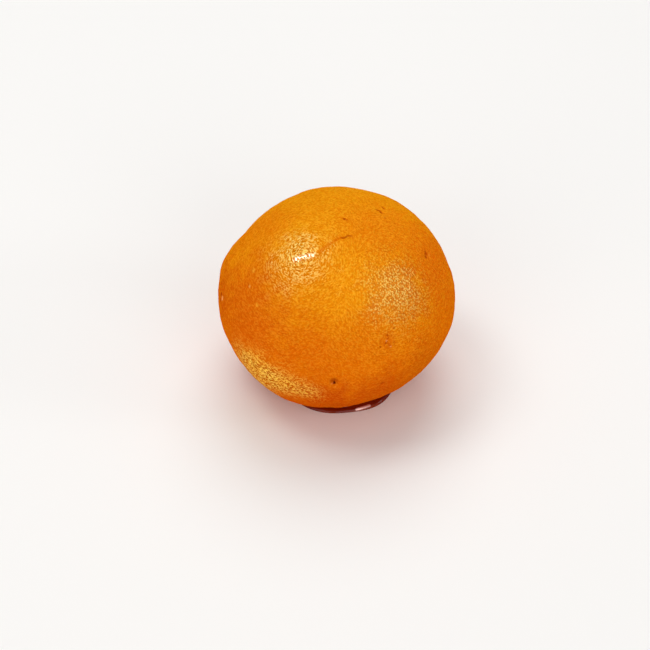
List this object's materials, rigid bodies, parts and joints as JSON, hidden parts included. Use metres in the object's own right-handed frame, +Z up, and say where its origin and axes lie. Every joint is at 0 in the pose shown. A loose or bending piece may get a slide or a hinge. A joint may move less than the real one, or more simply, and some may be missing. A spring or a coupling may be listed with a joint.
{
  "type": "gulab jamun",
  "caption": "Round ball of fried milk dough soaked in syrup, flat where it rests, with a small fold near the crown and fine wrinkles in its amber skin.",
  "frame": {"origin": "on the surface it rests on, under the middle of the ball's bounding box", "axes": "+Z up, -Y towards the side that the picture shows, +X to that view's right"},
  "size_m": [0.046, 0.0454, 0.038],
  "materials": {
    "gulab_jamun": "syrup-wet fried skin, finely wrinkled, satin"
  },
  "bodies": {
    "root": {"gulab_jamun": "gulab_jamun"}
  },
  "joints": []
}
